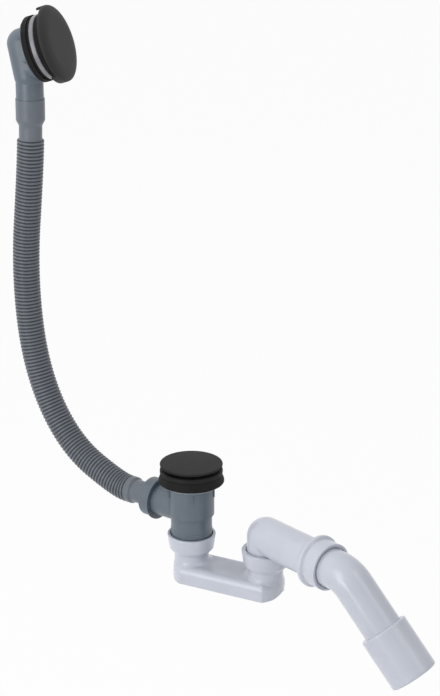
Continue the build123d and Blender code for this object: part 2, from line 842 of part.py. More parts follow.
# Trap body: flat box with two necks that end in push-fit sockets
with BuildPart() as trap_body:
    add(flat_box(0))
    trap_middle = trap_bottom + trap_height / 2
    wall_end = rim_z - socket_length
    for neck_x in (0, outlet_x):
        with BuildSketch(Plane((neck_x, 0, 0), x_dir=(1, 0, 0), z_dir=(0, -1, 0))) as socket_outline:
            with BuildLine():
                Polyline(
                    (0, rim_z),
                    (socket_rim_radius, rim_z),
                    (socket_rim_radius - socket_draft, wall_end),
                    (neck_radius, wall_end - socket_taper),
                    (neck_radius, trap_middle),
                    (0, trap_middle),
                    close=True,
                )
            make_face()
            fillet(socket_outline.vertices().sort_by(Axis.X)[-1], socket_round)
        revolve(axis=Axis((neck_x, 0, 0), (0, 0, 1)))
    add(flat_box(trap_wall), mode=Mode.SUBTRACT)
    for neck_x, spigot in ((0, tail_radius), (outlet_x, pipe_radius)):
        bore = spigot + turn_gap
        revolve(
            outline(
                Plane((neck_x, 0, 0), x_dir=(1, 0, 0), z_dir=(0, -1, 0)),
                [
                    (0, rim_z),
                    (bore + socket_lead, rim_z),
                    (bore, rim_z - seal_inset + socket_lead),
                    (bore, rim_z - seal_inset),
                    (bore + seal_section, rim_z - seal_inset),
                    (bore + seal_section, rim_z - seal_inset - seal_width),
                    (bore, rim_z - seal_inset - seal_width),
                    (bore, socket_seat),
                    (neck_bore, socket_seat - socket_taper),
                    (neck_bore, trap_middle),
                    (0, trap_middle),
                ],
            ),
            axis=Axis((neck_x, 0, 0), (0, 0, 1)),
            mode=Mode.SUBTRACT,
        )
trap_body.part.label = "trap_body"
export_step(trap_body.part, "parts/trap_body.step")

# Lip seals of the trap's two sockets
with BuildPart() as trap_inlet_seal:
    ring = [(radius, rim_z - seal_inset - depth) for radius, depth in lip_ring(tail_radius + turn_gap)]
    revolve(outline(Plane.XZ, ring), axis=Axis.Z)
trap_inlet_seal.part.label = "trap_inlet_seal"
export_step(trap_inlet_seal.part, "parts/trap_inlet_seal.step")

outlet_axis = Axis((outlet_x, 0, 0), (0, 0, 1))
outlet_section = Plane((outlet_x, 0, 0), x_dir=(1, 0, 0), z_dir=(0, -1, 0))
with BuildPart() as trap_outlet_seal:
    ring = [(radius, rim_z - seal_inset - depth) for radius, depth in lip_ring(socket_bore)]
    revolve(outline(outlet_section, ring), axis=outlet_axis)
trap_outlet_seal.part.label = "trap_outlet_seal"
export_step(trap_outlet_seal.part, "parts/trap_outlet_seal.step")

# Water way inside the elbow, with a weir over the trap's rim
with BuildPart() as elbow_way:
    with BuildSketch(Plane.XY.offset(elbow_end)):
        with Locations((outlet_x, 0)):
            Circle(pipe_bore)
    extrude(amount=elbow_z - elbow_end)
    with Locations(elbow_centre):
        Sphere(pipe_bore)
    leg = [(0, 0), (socket_reach, 0), (socket_reach, pipe_bore), (0, pipe_bore)]
    revolve(outline(elbow_section, leg), axis=elbow_axis)
    revolve(
        outline(
            outlet_section,
            [
                (pipe_bore, elbow_z - pipe_radius),
                (notch_radius + pipe_wall, elbow_z - pipe_radius),
                (notch_radius + pipe_wall, notch_top + pipe_wall),
                (pipe_bore, notch_top + pipe_wall),
            ],
        ),
        axis=outlet_axis,
        mode=Mode.SUBTRACT,
    )

# Outlet elbow: domed corner, notch for the trap's rim and a push-fit socket with its seal bulge
with BuildPart() as outlet_elbow:
    with BuildSketch(Plane.XY.offset(elbow_end)):
        with Locations((outlet_x, 0)):
            Circle(pipe_radius)
    extrude(amount=elbow_z - elbow_end)
    with Locations(elbow_centre):
        Sphere(pipe_radius)
    with BuildSketch(elbow_section) as leg_outline:
        with BuildLine():
            Polyline(
                (0, 0),
                (mouth_end, 0),
                (mouth_end, mouth_radius),
                (bulge_end + bulge_round, mouth_radius),
                (bulge_end, bulge_radius),
                (bulge_start, bulge_radius),
                (flare_reach, pipe_radius),
                (0, pipe_radius),
                close=True,
            )
        make_face()
        fillet(leg_outline.vertices().filter_by(lambda v: v.Y > bulge_radius - rim_margin), bulge_round)
    revolve(axis=elbow_axis)
    revolve(
        outline(
            outlet_section,
            [
                (pipe_radius, elbow_z - pipe_radius - cut_margin),
                (notch_radius, elbow_z - pipe_radius - cut_margin),
                (notch_radius, notch_top),
                (pipe_radius, notch_top),
            ],
        ),
        axis=outlet_axis,
        mode=Mode.SUBTRACT,
    )
    add(elbow_way.part, mode=Mode.SUBTRACT)
    groove_end = bulge_end - (bulge_length - seal_width) / 2
    revolve(
        outline(
            elbow_section,
            [
                (socket_reach, 0),
                (mouth_end, 0),
                (mouth_end, socket_bore + mouth_recess),
                (mouth_end - mouth_recess_depth, socket_bore + mouth_recess),
                (mouth_end - mouth_recess_depth, socket_bore),
                (groove_end, socket_bore),
                (groove_end, socket_bore + seal_section),
                (groove_end - seal_width, socket_bore + seal_section),
                (groove_end - seal_width, socket_bore),
                (socket_reach, socket_bore),
            ],
        ),
        axis=elbow_axis,
        mode=Mode.SUBTRACT,
    )
outlet_elbow.part.label = "outlet_elbow"
export_step(outlet_elbow.part, "parts/outlet_elbow.step")

# Lip seal of the elbow's socket
with BuildPart() as elbow_seal:
    ring = [(groove_end - depth, radius) for radius, depth in lip_ring(socket_bore)]
    revolve(outline(elbow_section, ring), axis=elbow_axis)
elbow_seal.part.label = "elbow_seal"
export_step(elbow_seal.part, "parts/elbow_seal.step")

# Outlet bend: pipe with one bend that widens to a plain end
with BuildPart() as outlet_bend:
    with BuildLine() as bend_line:
        FilletPolyline(
            elbow_centre + elbow_direction * spigot_reach,
            bend_corner,
            end_start + bend_direction * end_wall,
            radius=bend_radius,
        )
    bend_path = bend_line.wire()
    with BuildSketch(Plane(bend_path @ 0, z_dir=bend_path % 0)):
        Circle(pipe_radius)
    sweep(path=bend_path)
    with BuildSketch(end_plane):
        Circle(end_radius)
    extrude(amount=end_length)
    rims = outlet_bend.edges().filter_by(GeomType.CIRCLE)
    fillet(rims.filter_by(lambda e: e.radius > end_radius - rim_margin), end_round)
    with BuildSketch(Plane(bend_path @ 0, z_dir=bend_path % 0)):
        Circle(pipe_bore)
    sweep(path=bend_path, mode=Mode.SUBTRACT)
    with BuildSketch(end_plane.offset(end_length)):
        Circle(end_radius - end_wall)
    extrude(amount=end_wall - end_length, mode=Mode.SUBTRACT)
outlet_bend.part.label = "outlet_bend"
export_step(outlet_bend.part, "parts/outlet_bend.step")
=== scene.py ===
import math
import bmesh
import bpy
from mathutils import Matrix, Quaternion, Vector


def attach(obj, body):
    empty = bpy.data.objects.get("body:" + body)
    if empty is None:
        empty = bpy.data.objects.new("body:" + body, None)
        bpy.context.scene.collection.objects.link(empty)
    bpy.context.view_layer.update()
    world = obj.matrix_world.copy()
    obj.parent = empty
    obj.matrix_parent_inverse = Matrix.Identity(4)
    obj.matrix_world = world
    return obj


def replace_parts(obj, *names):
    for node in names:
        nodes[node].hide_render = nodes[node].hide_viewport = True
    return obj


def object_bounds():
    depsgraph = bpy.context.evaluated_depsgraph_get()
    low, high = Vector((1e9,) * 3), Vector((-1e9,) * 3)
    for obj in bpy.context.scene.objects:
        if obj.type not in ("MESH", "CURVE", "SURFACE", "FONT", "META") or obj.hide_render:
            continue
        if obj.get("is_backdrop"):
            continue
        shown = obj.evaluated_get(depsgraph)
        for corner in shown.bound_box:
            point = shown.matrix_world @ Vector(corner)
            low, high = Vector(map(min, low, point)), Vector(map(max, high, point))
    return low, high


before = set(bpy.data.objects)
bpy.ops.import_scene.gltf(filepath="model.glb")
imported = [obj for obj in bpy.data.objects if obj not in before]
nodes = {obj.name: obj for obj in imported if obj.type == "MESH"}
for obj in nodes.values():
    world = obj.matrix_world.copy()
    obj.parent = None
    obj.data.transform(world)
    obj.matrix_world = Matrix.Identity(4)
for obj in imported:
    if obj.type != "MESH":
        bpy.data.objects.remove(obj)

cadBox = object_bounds()
scene = bpy.context.scene
print("frame loaded:", len(nodes), "nodes")


# node tree helpers

def addNode(tree, kind, **settings):
    node = tree.nodes.new(kind)
    for key, value in settings.items():
        setattr(node, key, value)
    return node


def feed(tree, socket, value):
    if isinstance(value, bpy.types.NodeSocket):
        tree.links.new(value, socket)
    else:
        socket.default_value = value


def calc(tree, operation, first, second=0.0):
    node = addNode(tree, "ShaderNodeMath", operation=operation)
    feed(tree, node.inputs[0], first)
    feed(tree, node.inputs[1], second)
    return node.outputs[0]


def ramp(tree, value, fromLow, fromHigh, toLow, toHigh, smooth=False):
    node = addNode(tree, "ShaderNodeMapRange", interpolation_type="SMOOTHSTEP" if smooth else "LINEAR")
    for socket, number in zip(node.inputs, (value, fromLow, fromHigh, toLow, toHigh)):
        feed(tree, socket, number)
    return node.outputs[0]


# Geometry Nodes helpers

def startTree(name, sockets):
    tree = bpy.data.node_groups.new(name, "GeometryNodeTree")
    tree.interface.new_socket(name="Geometry", in_out="INPUT", socket_type="NodeSocketGeometry")
    for label, kind in sockets:
        tree.interface.new_socket(name=label, in_out="INPUT", socket_type="NodeSocket" + kind)
    tree.interface.new_socket(name="Geometry", in_out="OUTPUT", socket_type="NodeSocketGeometry")
    entry = tree.nodes.new("NodeGroupInput")
    return tree, {socket.name: socket for socket in entry.outputs if socket.name}


def endTree(tree, geometry, material):
    realize = addNode(tree, "GeometryNodeRealizeInstances")
    coat = addNode(tree, "GeometryNodeSetMaterial")
    leave = tree.nodes.new("NodeGroupOutput")
    tree.links.new(geometry, realize.inputs["Geometry"])
    tree.links.new(realize.outputs["Geometry"], coat.inputs["Geometry"])
    tree.links.new(material, coat.inputs["Material"])
    tree.links.new(coat.outputs["Geometry"], leave.inputs["Geometry"])


def growPiece(name, carrier, tree, values, body):
    modifier = carrier.modifiers.new(tree.name, "NODES")
    modifier.node_group = tree
    for item in tree.interface.items_tree:
        if item.in_out == "INPUT" and item.name in values:
            modifier[item.identifier] = values[item.name]
    bpy.context.view_layer.update()
    grown = carrier.evaluated_get(bpy.context.evaluated_depsgraph_get())
    mesh = bpy.data.meshes.new_from_object(grown)
    bpy.data.objects.remove(carrier)
    piece = bpy.data.objects.new(name, mesh)
    scene.collection.objects.link(piece)
    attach(piece, body)
    print(name, len(mesh.polygons), "faces")
    return piece


# shared shader effects
effectValues = {
    "grainDetail": 2.0, "cloudDetail": 3.0, "cloudEdges": (0.3, 0.7), "grainShare": 0.4, "cloudShare": 0.6,
    "dustFacing": (0.2, 1.0), "dustEdges": (0.35, 0.75), "dustThin": 0.2, "dustDetail": 4.0, "dustRough": 0.65,
    "lineDetail": 2.0, "toneScale": 180.0, "toneDetail": 3.0, "toneEdges": (0.3, 0.7),
}


def startGroup(name, inputs, outputs):
    group = bpy.data.node_groups.new(name, "ShaderNodeTree")
    for label in inputs:
        group.interface.new_socket(name=label, in_out="INPUT", socket_type="NodeSocketFloat")
    for label in outputs:
        group.interface.new_socket(name=label, in_out="OUTPUT", socket_type="NodeSocketFloat")
    entry = group.nodes.new("NodeGroupInput")
    leave = group.nodes.new("NodeGroupOutput")
    return group, entry.outputs, leave.inputs


def objectNoise(tree, scale, detail, rough=0.5):
    place = addNode(tree, "ShaderNodeTexCoord")
    noise = addNode(tree, "ShaderNodeTexNoise")
    tree.links.new(place.outputs["Object"], noise.inputs["Vector"])
    feed(tree, noise.inputs["Scale"], scale)
    noise.inputs["Detail"].default_value = detail
    noise.inputs["Roughness"].default_value = rough
    return noise.outputs[0]


def makeMouldGrain(values):
    group, given, result = startGroup("mouldGrain", ["Grain Scale", "Cloud Scale"], ["Height", "Cloud", "Sheen"])
    grain = objectNoise(group, given["Grain Scale"], values["grainDetail"])
    cloud = objectNoise(group, given["Cloud Scale"], values["cloudDetail"])
    group.links.new(grain, result["Height"])
    group.links.new(ramp(group, cloud, *values["cloudEdges"], 0.0, 1.0, True), result["Cloud"])
    sheen = calc(group, "ADD", calc(group, "MULTIPLY", grain, values["grainShare"]),
                 calc(group, "MULTIPLY", cloud, values["cloudShare"]))
    group.links.new(sheen, result["Sheen"])
    return group


def makeSettledDust(values):
    group, given, result = startGroup("settledDust", ["Amount", "Patch Scale"], ["Mask"])
    facing = addNode(group, "ShaderNodeNewGeometry")
    split = addNode(group, "ShaderNodeSeparateXYZ")
    group.links.new(facing.outputs["Normal"], split.inputs[0])
    upward = ramp(group, split.outputs["Z"], *values["dustFacing"], 0.0, 1.0, True)
    noise = objectNoise(group, given["Patch Scale"], values["dustDetail"], values["dustRough"])
    patch = ramp(group, noise, *values["dustEdges"], values["dustThin"], 1.0)
    group.links.new(calc(group, "MULTIPLY", calc(group, "MULTIPLY", upward, patch), given["Amount"]), result["Mask"])
    return group


def makeTurnedLines(values):
    group, given, result = startGroup("turnedLines", ["Line Scale", "Wobble"], ["Height", "Tone"])
    place = addNode(group, "ShaderNodeTexCoord")
    wave = addNode(group, "ShaderNodeTexWave", wave_type="BANDS", bands_direction="Z", wave_profile="SIN")
    group.links.new(place.outputs["Object"], wave.inputs["Vector"])
    feed(group, wave.inputs["Scale"], given["Line Scale"])
    feed(group, wave.inputs["Distortion"], given["Wobble"])
    wave.inputs["Detail"].default_value = values["lineDetail"]
    group.links.new(wave.outputs["Fac"], result["Height"])
    tone = objectNoise(group, values["toneScale"], values["toneDetail"])
    group.links.new(ramp(group, tone, *values["toneEdges"], 0.0, 1.0), result["Tone"])
    return group


mouldGrain = makeMouldGrain(effectValues)
settledDust = makeSettledDust(effectValues)
turnedLines = makeTurnedLines(effectValues)
print("effects made")


# materials
# the rib-height range over which the painted shade in the hose's rib hollows gives way to the crest colour
surfaceValues = {"dustPatch": 70.0, "troughEdges": (0.5, 1.0), "sheenEdges": (0.3, 0.7), "coatRough": 0.12,
                 "mouldBump": 0.00008, "wobble": 1.5, "turnedBump": 0.00005}


def useGroup(tree, group, **values):
    node = addNode(tree, "ShaderNodeGroup", node_tree=group)
    for key, value in values.items():
        node.inputs[key].default_value = value
    return node.outputs


def mixColour(tree, mask, first, second):
    node = addNode(tree, "ShaderNodeMix", data_type="RGBA")
    feed(tree, node.inputs[0], mask)
    feed(tree, node.inputs[6], first)  # sockets 6 and 7 are the two colours
    feed(tree, node.inputs[7], second)
    return node.outputs[2]


def opaque(colour):
    return (*colour, 1.0)


def startMaterial(name):
    material = bpy.data.materials.new(name)
    material.use_nodes = True
    tree = material.node_tree
    return material, tree, tree.nodes["Principled BSDF"]


def addBump(tree, shader, height, strength, distance):
    bump = addNode(tree, "ShaderNodeBump")
    bump.inputs["Strength"].default_value = strength
    bump.inputs["Distance"].default_value = distance
    tree.links.new(height, bump.inputs["Height"])
    tree.links.new(bump.outputs["Normal"], shader.inputs["Normal"])


def moulded(name, look):
    material, tree, shader = startMaterial(name)
    grain = useGroup(tree, mouldGrain, **{"Grain Scale": look["grain"], "Cloud Scale": look["cloud"]})
    dust = useGroup(tree, settledDust, **{"Amount": look["dust"], "Patch Scale": surfaceValues["dustPatch"]})
    colour = mixColour(tree, grain["Cloud"], opaque(look["colour"]), opaque(look["second"]))
    # hose only: the rib hollows take a darker colour, painted shade for the shade between the ribs
    if "trough" in look:  # the hose keeps its rib height as an attribute
        rib = addNode(tree, "ShaderNodeAttribute", attribute_name="ribHeight")
        crest = ramp(tree, rib.outputs["Fac"], *surfaceValues["troughEdges"], 0.0, 1.0)
        colour = mixColour(tree, crest, opaque(look["trough"]), colour)
    colour = mixColour(tree, dust["Mask"], colour, opaque(look["dustColour"]))
    tree.links.new(colour, shader.inputs["Base Color"])
    low, high = look["rough"]
    tree.links.new(ramp(tree, grain["Sheen"], *surfaceValues["sheenEdges"], low, high), shader.inputs["Roughness"])
    shader.inputs["Specular IOR Level"].default_value = look["specular"]
    shader.inputs["Coat Weight"].default_value = look["coat"]
    shader.inputs["Coat Roughness"].default_value = surfaceValues["coatRough"]
    addBump(tree, shader, grain["Height"], look["bump"], surfaceValues["mouldBump"])
    return material


def turned(name, look):
    material, tree, shader = startMaterial(name)
    lines = useGroup(tree, turnedLines, **{"Line Scale": look["lines"], "Wobble": surfaceValues["wobble"]})
    colour = mixColour(tree, lines["Tone"], opaque(look["colour"]), opaque(look["second"]))
    tree.links.new(colour, shader.inputs["Base Color"])
    shader.inputs["Metallic"].default_value = 1.0
    low, high = look["rough"]
    tree.links.new(ramp(tree, lines["Tone"], 0.0, 1.0, low, high), shader.inputs["Roughness"])
    addBump(tree, shader, lines["Height"], look["bump"], surfaceValues["turnedBump"])
    return material


paleDust = (0.42, 0.42, 0.42)
finishes = {
    "blackCoat": moulded("blackCoat", {
        "colour": (0.012, 0.012, 0.012), "second": (0.018, 0.018, 0.018), "dustColour": paleDust, "dust": 0.02,
        "grain": 3400.0, "cloud": 30.0, "rough": (0.50, 0.62), "coat": 0.0, "specular": 0.14, "bump": 0.35}),
    "blackCover": moulded("blackCover", {
        "colour": (0.027, 0.027, 0.028), "second": (0.036, 0.035, 0.035), "dustColour": paleDust, "dust": 0.02,
        "grain": 3000.0, "cloud": 26.0, "rough": (0.52, 0.66), "coat": 0.0, "specular": 0.22, "bump": 0.4}),
    # black plastic coloured darker and more matt than the cover face: painted shade for the shadow beneath the dish
    "blackPaintedShade": moulded("blackPaintedShade", {
        "colour": (0.010, 0.010, 0.010), "second": (0.015, 0.015, 0.015), "dustColour": paleDust, "dust": 0.01,
        "grain": 2600.0, "cloud": 40.0, "rough": (0.60, 0.75), "coat": 0.0, "specular": 0.10, "bump": 0.3}),
    "sealRubber": moulded("sealRubber", {
        "colour": (0.010, 0.010, 0.010), "second": (0.018, 0.017, 0.017), "dustColour": paleDust, "dust": 0.03,
        "grain": 2200.0, "cloud": 45.0, "rough": (0.55, 0.75), "coat": 0.0, "specular": 0.12, "bump": 0.5}),
    "greyMoulded": moulded("greyMoulded", {
        "colour": (0.104, 0.133, 0.165), "second": (0.117, 0.146, 0.178), "dustColour": paleDust, "dust": 0.05,
        "grain": 2600.0, "cloud": 20.0, "rough": (0.34, 0.44), "coat": 0.05, "specular": 0.60, "bump": 0.10}),
    # grey lighter than the body plastic: a painted highlight standing in for the reflection on the rim's rounded edge
    "greyPaintedHighlight": moulded("greyPaintedHighlight", {
        "colour": (0.200, 0.235, 0.275), "second": (0.220, 0.255, 0.295), "dustColour": paleDust, "dust": 0.05,
        "grain": 2600.0, "cloud": 40.0, "rough": (0.34, 0.44), "coat": 0.05, "specular": 0.60, "bump": 0.10}),
    "greyHose": moulded("greyHose", {
        "colour": (0.142, 0.162, 0.192), "second": (0.156, 0.176, 0.206), "dustColour": paleDust, "dust": 0.04,
        # dark colour for the rib hollows is painted shade; the base colour above is lifted to match the lit crests
        "trough": (0.024, 0.029, 0.036),
        "grain": 2400.0, "cloud": 24.0, "rough": (0.32, 0.44), "coat": 0.0, "specular": 0.4, "bump": 0.14}),
    "whiteMoulded": moulded("whiteMoulded", {
        "colour": (0.555, 0.585, 0.665), "second": (0.590, 0.620, 0.700), "dustColour": (0.5, 0.5, 0.5), "dust": 0.03,
        "grain": 2800.0, "cloud": 16.0, "rough": (0.24, 0.34), "coat": 0.35, "specular": 0.5, "bump": 0.08}),
    "paleRing": moulded("paleRing", {
        "colour": (0.190, 0.190, 0.215), "second": (0.230, 0.230, 0.255), "dustColour": paleDust, "dust": 0.02,
        "grain": 3000.0, "cloud": 40.0, "rough": (0.30, 0.42), "coat": 0.2, "specular": 0.6, "bump": 0.12}),
    "cartridgeWhite": moulded("cartridgeWhite", {
        "colour": (0.700, 0.690, 0.660), "second": (0.760, 0.750, 0.720), "dustColour": paleDust, "dust": 0.0,
        "grain": 2600.0, "cloud": 60.0, "rough": (0.35, 0.5), "coat": 0.0, "specular": 0.45, "bump": 0.15}),
    "turnedBrass": turned("turnedBrass", {
        "colour": (0.62, 0.44, 0.18), "second": (0.70, 0.52, 0.25),
        "lines": 1400.0, "rough": (0.22, 0.36), "bump": 0.25}),
    "drawnSteel": turned("drawnSteel", {
        "colour": (0.52, 0.52, 0.53), "second": (0.62, 0.62, 0.63),
        "lines": 2200.0, "rough": (0.20, 0.34), "bump": 0.2}),
}
wears = {
    "blackCoat": ["waste_flange", "plug_cap"],
    "blackCover": ["overflow_cover"],
    "sealRubber": ["waste_gasket", "overflow_gasket", "plug_seal", "inlet_seal",
                   "trap_inlet_seal", "trap_outlet_seal", "elbow_seal"],
    "greyMoulded": ["waste_body", "inlet_nut", "overflow_body"],
    "greyHose": ["overflow_hose"],
    "whiteMoulded": ["trap_body", "outlet_elbow", "outlet_bend"],
    "paleRing": ["overflow_insert"],
    "cartridgeWhite": ["plug_cartridge"],
    "turnedBrass": ["body_insert", "clamp_bolt", "plug_stem"],
    "drawnSteel": ["overflow_screw", "plug_spring"],
}
for finish, names in wears.items():
    for name in names:
        nodes[name].data.materials.clear()
        nodes[name].data.materials.append(finishes[finish])
print("materials made")


# corrugated hose: NURBS route in the upright plane through the side inlet
hoseValues = {
    "heading": 10.0,
    "route": [(0.2108, 0.3662), (0.2108, 0.3367), (0.2140, 0.2891), (0.2275, 0.1703), (0.2140, 0.0635),
              (0.1680, -0.0105), (0.0990, -0.0406), (0.0740, -0.0406), (0.0540, -0.0406)],
    "Pitch": 0.00387, "Crest": 0.0144, "Trough": 0.0130, "Neck": 0.0122,
    "Cuff": 0.0153, "Cuff Length": 0.0215, "Cuff Taper": 0.0080, "Cuff Neck": 0.0140,
    "Lower Cuff": 0.0143, "Lower Length": 0.0046, "Lower Taper": 0.0036, "Lower Neck": 0.0193,
    "Sides": 44, "routeSteps": 40, "routeOrder": 3, "stepsPerRib": 8.0, "ribShape": 0.62,
}


def drawHoseRoute(values):
    turn = math.radians(values["heading"])
    curve = bpy.data.curves.new("hoseRoute", "CURVE")
    curve.dimensions = "3D"
    curve.resolution_u = values["routeSteps"]
    spline = curve.splines.new("NURBS")
    spline.points.add(len(values["route"]) - 1)
    for point, (reach, height) in zip(spline.points, values["route"]):
        point.co = (-math.cos(turn) * reach, math.sin(turn) * reach, height, 1.0)
    spline.order_u = values["routeOrder"]
    spline.use_endpoint_u = True
    carrier = bpy.data.objects.new("hoseRoute", curve)
    scene.collection.objects.link(carrier)
    return carrier


def makeHoseTree(values):
    lengths = ["Pitch", "Crest", "Trough", "Neck", "Cuff", "Cuff Length", "Cuff Taper", "Cuff Neck", "Lower Cuff",
               "Lower Length", "Lower Taper", "Lower Neck"]
    sockets = [(label, "Float") for label in lengths] + [("Sides", "Int"), ("Material", "Material")]
    tree, given = startTree("hoseRibs", sockets)
    even = addNode(tree, "GeometryNodeResampleCurve", mode="LENGTH")
    tree.links.new(given["Geometry"], even.inputs["Curve"])
    tree.links.new(calc(tree, "DIVIDE", given["Pitch"], values["stepsPerRib"]), even.inputs["Length"])
    along = addNode(tree, "GeometryNodeSplineParameter").outputs["Length"]
    whole = addNode(tree, "GeometryNodeSplineLength").outputs["Length"]
    left = calc(tree, "SUBTRACT", whole, along)
    taperEnd = calc(tree, "ADD", given["Cuff Length"], given["Cuff Taper"])
    ribStart = calc(tree, "ADD", taperEnd, given["Cuff Neck"])
    upper = ramp(tree, along, given["Cuff Length"], taperEnd, given["Cuff"], given["Neck"], True)
    lowerTaperEnd = calc(tree, "ADD", given["Lower Neck"], given["Lower Taper"])
    ribEnd = calc(tree, "ADD", lowerTaperEnd, given["Lower Length"])
    lower = ramp(tree, left, given["Lower Neck"], lowerTaperEnd, given["Neck"], given["Lower Cuff"], True)
    ribs = calc(tree, "DIVIDE", calc(tree, "SUBTRACT", along, ribStart), given["Pitch"])
    phase = calc(tree, "MULTIPLY", ribs, math.pi)
    swell = calc(tree, "POWER", calc(tree, "ABSOLUTE", calc(tree, "SINE", phase)), values["ribShape"])
    ribbed = calc(tree, "ADD", given["Trough"],
                  calc(tree, "MULTIPLY", swell, calc(tree, "SUBTRACT", given["Crest"], given["Trough"])))
    inRibs = calc(tree, "MULTIPLY", calc(tree, "GREATER_THAN", along, ribStart),
                  calc(tree, "GREATER_THAN", left, ribEnd))
    plain = calc(tree, "ADD", upper, calc(tree, "MULTIPLY", calc(tree, "LESS_THAN", left, ribEnd),
                                          calc(tree, "SUBTRACT", lower, upper)))
    radius = calc(tree, "ADD", plain, calc(tree, "MULTIPLY", inRibs, calc(tree, "SUBTRACT", ribbed, plain)))
    rib = calc(tree, "SUBTRACT", 1.0, calc(tree, "MULTIPLY", inRibs, calc(tree, "SUBTRACT", 1.0, swell)))
    note = addNode(tree, "GeometryNodeStoreNamedAttribute", data_type="FLOAT", domain="POINT")
    note.inputs["Name"].default_value = "ribHeight"
    tree.links.new(even.outputs["Curve"], note.inputs["Geometry"])
    tree.links.new(rib, note.inputs["Value"])
    swept = addNode(tree, "GeometryNodeSetCurveRadius")
    tree.links.new(note.outputs["Geometry"], swept.inputs["Curve"])
    tree.links.new(radius, swept.inputs["Radius"])
    ring = addNode(tree, "GeometryNodeCurvePrimitiveCircle")
    ring.inputs["Radius"].default_value = 1.0
    tree.links.new(given["Sides"], ring.inputs["Resolution"])
    skin = addNode(tree, "GeometryNodeCurveToMesh")
    tree.links.new(swept.outputs["Curve"], skin.inputs["Curve"])
    tree.links.new(ring.outputs["Curve"], skin.inputs["Profile Curve"])
    skin.inputs["Fill Caps"].default_value = True
    tree.links.new(addNode(tree, "GeometryNodeInputRadius").outputs[0], skin.inputs["Scale"])
    smooth = addNode(tree, "GeometryNodeSetShadeSmooth")
    tree.links.new(skin.outputs["Mesh"], smooth.inputs[0])
    endTree(tree, smooth.outputs[0], given["Material"])
    return tree


hose = growPiece("hose_ribbed", drawHoseRoute(hoseValues), makeHoseTree(hoseValues),
                 {**hoseValues, "Material": finishes["greyHose"]}, "waste")
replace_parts(hose, "overflow_hose")


# turned shapes: closed profiles of radius and height, turned about an axis
shapeValues = {"mergeGap": 0.000001, "sharpAngle": 38.0, "upright": 0.01}


def axisFrame(centre, axis):
    ahead = Vector(axis).normalized()
    up = Vector((0.0, 0.0, 1.0)) - ahead * ahead.z
    if up.length < shapeValues["upright"]:  # an upright axis counts its angle from +X
        up = Vector((1.0, 0.0, 0.0))
    up.normalize()
    side = up.cross(ahead)

    def place(radius, angle, height):
        return Vector(centre) + (up * math.cos(angle) + side * math.sin(angle)) * radius + ahead * height
    return place


def turnProfile(shape, place, profile, middle=0.0, span=360.0, steps=96):
    whole = span >= 360.0
    count = steps if whole else steps + 1
    rings = []
    for number in range(count):
        angle = math.radians(middle + span * (number / steps - 0.5))
        points = profile(angle) if callable(profile) else profile
        rings.append([shape.verts.new(place(radius, angle, height)) for radius, height in points])
    for number in range(steps):
        here, there = rings[number], rings[(number + 1) % count]
        for point in range(len(here)):
            shape.faces.new((here[point - 1], here[point], there[point], there[point - 1]))
    if not whole:
        shape.faces.new(rings[0])
        shape.faces.new(rings[-1])


def finishShape(name, shape, body, finish):
    bmesh.ops.remove_doubles(shape, verts=shape.verts, dist=shapeValues["mergeGap"])
    bmesh.ops.recalc_face_normals(shape, faces=shape.faces)
    mesh = bpy.data.meshes.new(name)
    shape.to_mesh(mesh)
    shape.free()
    mesh.shade_smooth()
    mesh.set_sharp_from_angle(angle=math.radians(shapeValues["sharpAngle"]))
    mesh.materials.append(finishes[finish])
    piece = bpy.data.objects.new(name, mesh)
    scene.collection.objects.link(piece)
    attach(piece, body)
    print(name, len(mesh.polygons), "faces")
    return piece


# overflow cover: domed dish with a lip above and a foot below, and the plain collar behind it, coloured darker than
# the dish as painted shade under its rim
coverValues = {
    "centre": (-0.173919, 0.043279, 0.426428), "axis": (0.930263, 0.184197, 0.317305),
    "radius": 0.0403, "flat": 0.0240, "crown": 0.0024, "rim": -0.0030, "skirt": 0.0012, "wall": 0.0020,
    "lipAngle": 16.0, "lipReach": 0.0105, "lipRise": 0.0002, "footAngle": 84.0, "footReach": 0.0096,
    "collar": 0.0330, "collarWall": 0.0018, "collarReach": 0.0124, "collarAngle": 312.0,
    "edgeSteps": 14, "lipSteps": 8, "footSteps": 40, "collarSteps": 72,
}


def makeCover(values):
    place = axisFrame(values["centre"], values["axis"])
    radius, wall, crown, rim = values["radius"], values["wall"], values["crown"], values["rim"]
    inside = radius - wall
    back = rim - values["skirt"]
    flat = values["flat"]
    face = [(0.0, crown)]
    for number in range(values["edgeSteps"] + 1):
        turn = math.radians(90.0 * number / values["edgeSteps"])
        face.append((flat + (radius - flat) * math.sin(turn), rim + (crown - rim) * math.cos(turn)))
    dish = bmesh.new()
    turnProfile(dish, place, face + [(radius, back), (inside, back), (flat, crown - wall), (0.0, crown - wall)])
    lipRadius, lipEnd, footEnd = radius + values["lipRise"], -values["lipReach"], -values["footReach"]
    turnProfile(dish, place, [(inside, rim), (lipRadius, rim), (lipRadius, lipEnd), (inside, lipEnd)],
                span=values["lipAngle"], steps=values["lipSteps"])
    turnProfile(dish, place, [(inside, rim), (radius, rim), (radius, footEnd), (inside, footEnd)],
                middle=180.0, span=values["footAngle"], steps=values["footSteps"])
    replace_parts(finishShape("cover_dish", dish, "waste", "blackCover"), "overflow_cover")
    collar = bmesh.new()
    outer, inner, end = values["collar"], values["collar"] - values["collarWall"], -values["collarReach"]
    turnProfile(collar, place, [(inner, 0.0), (outer, 0.0), (outer, end), (inner, end)],
                span=values["collarAngle"], steps=values["collarSteps"])
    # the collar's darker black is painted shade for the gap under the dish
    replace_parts(finishShape("cover_collar", collar, "waste", "blackPaintedShade"), "overflow_cover")


makeCover(coverValues)


